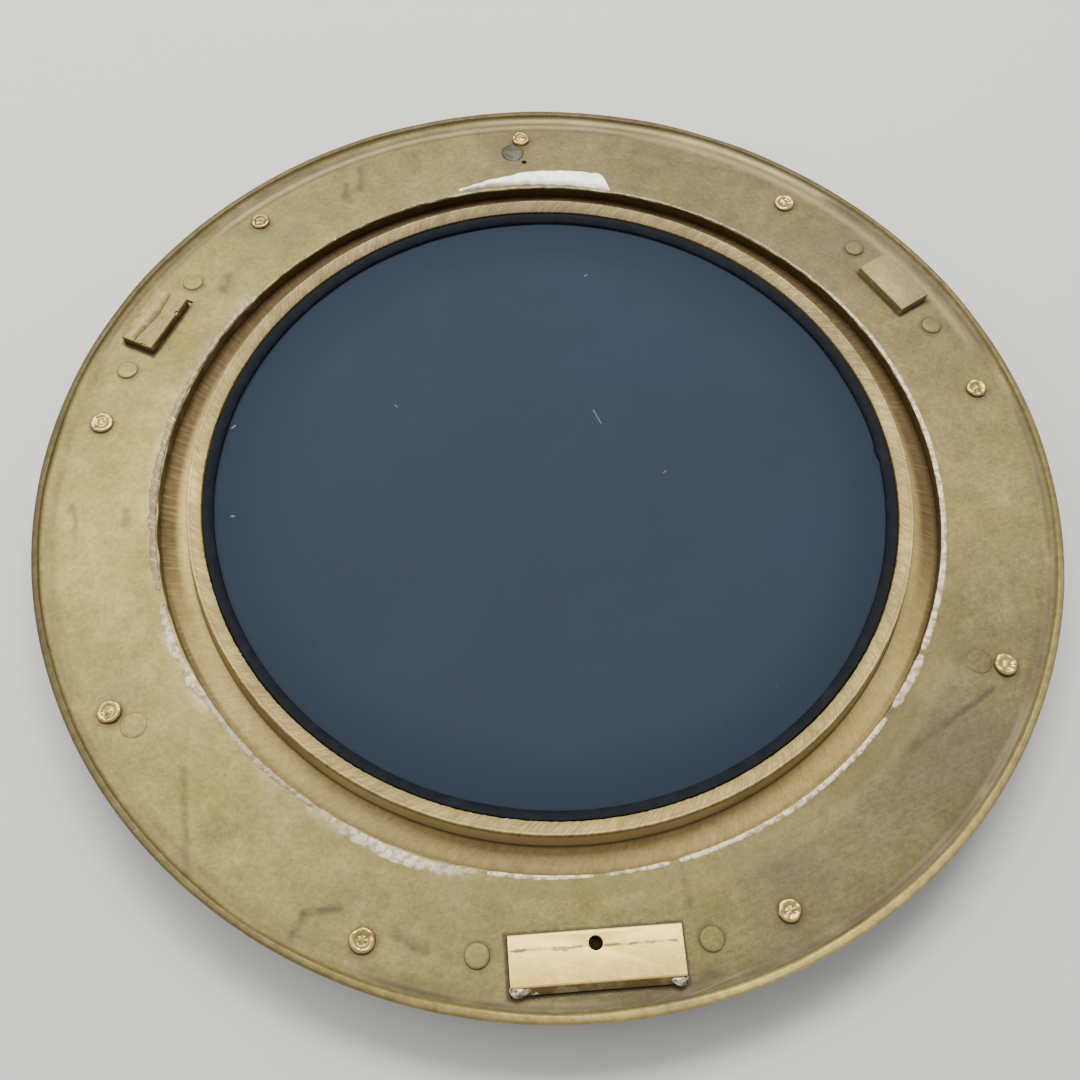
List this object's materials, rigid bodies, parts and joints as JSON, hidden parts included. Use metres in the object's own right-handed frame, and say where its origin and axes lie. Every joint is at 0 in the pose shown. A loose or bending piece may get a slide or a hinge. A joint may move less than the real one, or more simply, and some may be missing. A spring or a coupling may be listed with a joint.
{
  "type": "opening porthole",
  "caption": "Round cast brass opening porthole with a flat flange, a hinged glazed sash, swing-bolt dogs with wing nuts, and old sealant on its wall side.",
  "frame": {"origin": "centre line of the port, on the surface that the bezel of the sash lies on", "axes": "+Z is the wall side of the flange, -Z the room side. The hinge is near -Y, and the dogs are at 36 and 158.6 degrees from +X."},
  "size_m": [0.38, 0.38, 0.0282],
  "materials": {
    "cast_brass": "dull, aged, as cast",
    "sash_brass": "dull, aged, machined",
    "pale_brass": "satin, filed",
    "bright_brass": "polished",
    "black_rubber": "matt",
    "mirror": "silvered glass",
    "slate_paint": "matt slate blue",
    "white_sealant": "matt, dried"
  },
  "bodies": {
    "flange": {"flange": "cast_brass", "hinge_bracket": "pale_brass", "hinge_pin": "bright_brass", "dog_bracket_right": "cast_brass", "dog_pin_right": "bright_brass", "dog_bracket_left": "cast_brass", "dog_pin_left": "bright_brass", "flange_screw_1": "pale_brass", "flange_screw_2": "pale_brass", "flange_screw_3": "pale_brass", "flange_screw_4": "pale_brass", "flange_screw_5": "pale_brass", "flange_screw_6": "pale_brass", "flange_screw_7": "pale_brass", "flange_screw_8": "pale_brass", "flange_screw_9": "pale_brass", "bracket_rivet_1": "cast_brass", "bracket_rivet_2": "cast_brass", "bracket_rivet_3": "cast_brass", "bracket_rivet_4": "cast_brass", "bracket_rivet_5": "cast_brass", "bracket_rivet_6": "cast_brass", "core_plug_1": "cast_brass", "core_plug_2": "cast_brass", "core_plug_3": "cast_brass", "sealant_bead": "white_sealant", "filler_patch": "white_sealant"},
    "sash": {"sash": "sash_brass", "glazing_gasket": "black_rubber", "mirror_glass": "mirror", "backing_disc": "slate_paint", "port_seal": "black_rubber"},
    "swing_bolt_right": {"swing_bolt_right": "bright_brass"},
    "dog_washer_right": {"dog_washer_right": "bright_brass"},
    "wing_nut_right": {"wing_nut_right": "bright_brass"},
    "swing_bolt_left": {"swing_bolt_left": "bright_brass"},
    "dog_washer_left": {"dog_washer_left": "bright_brass"},
    "wing_nut_left": {"wing_nut_left": "bright_brass"}
  },
  "joints": [
    {"name": "sash_hinge", "type": "hinge", "parent": "flange", "child": "sash", "pos_m": [0.01977, -0.17086, 0.01], "axis": [-0.9934, -0.1149, 0], "range_deg": [0, 110]},
    {"name": "dog_swing_right", "type": "hinge", "parent": "flange", "child": "swing_bolt_right", "pos_m": [0.13753, 0.09992, 0.0117], "axis": [0.5878, -0.809, 0], "range_deg": [-73, 12]},
    {"name": "washer_slide_right", "type": "slide", "parent": "swing_bolt_right", "child": "dog_washer_right", "axis": [0.7737, 0.5621, -0.2924], "range_m": [-0.0016, 0.004]},
    {"name": "nut_spin_right", "type": "hinge", "parent": "dog_washer_right", "child": "wing_nut_right", "pos_m": [0.13753, 0.09992, 0.0117], "axis": [0.7737, 0.5621, -0.2924], "range_deg": [-380, 955]},
    {"name": "dog_swing_left", "type": "hinge", "parent": "flange", "child": "swing_bolt_left", "pos_m": [-0.15828, 0.06203, 0.0117], "axis": [0.3649, 0.9311, 0], "range_deg": [-73, 12]},
    {"name": "washer_slide_left", "type": "slide", "parent": "swing_bolt_left", "child": "dog_washer_left", "axis": [-0.8904, 0.3489, -0.2924], "range_m": [-0.0016, 0.004]},
    {"name": "nut_spin_left", "type": "hinge", "parent": "dog_washer_left", "child": "wing_nut_left", "pos_m": [-0.15828, 0.06203, 0.0117], "axis": [-0.8904, 0.3489, -0.2924], "range_deg": [-380, 955]}
  ],
  "couplings": [
    {"joint": "washer_slide_right", "follows": "nut_spin_right", "m_per_rad": 0.00023873},
    {"joint": "washer_slide_left", "follows": "nut_spin_left", "m_per_rad": 0.00023873}
  ]
}
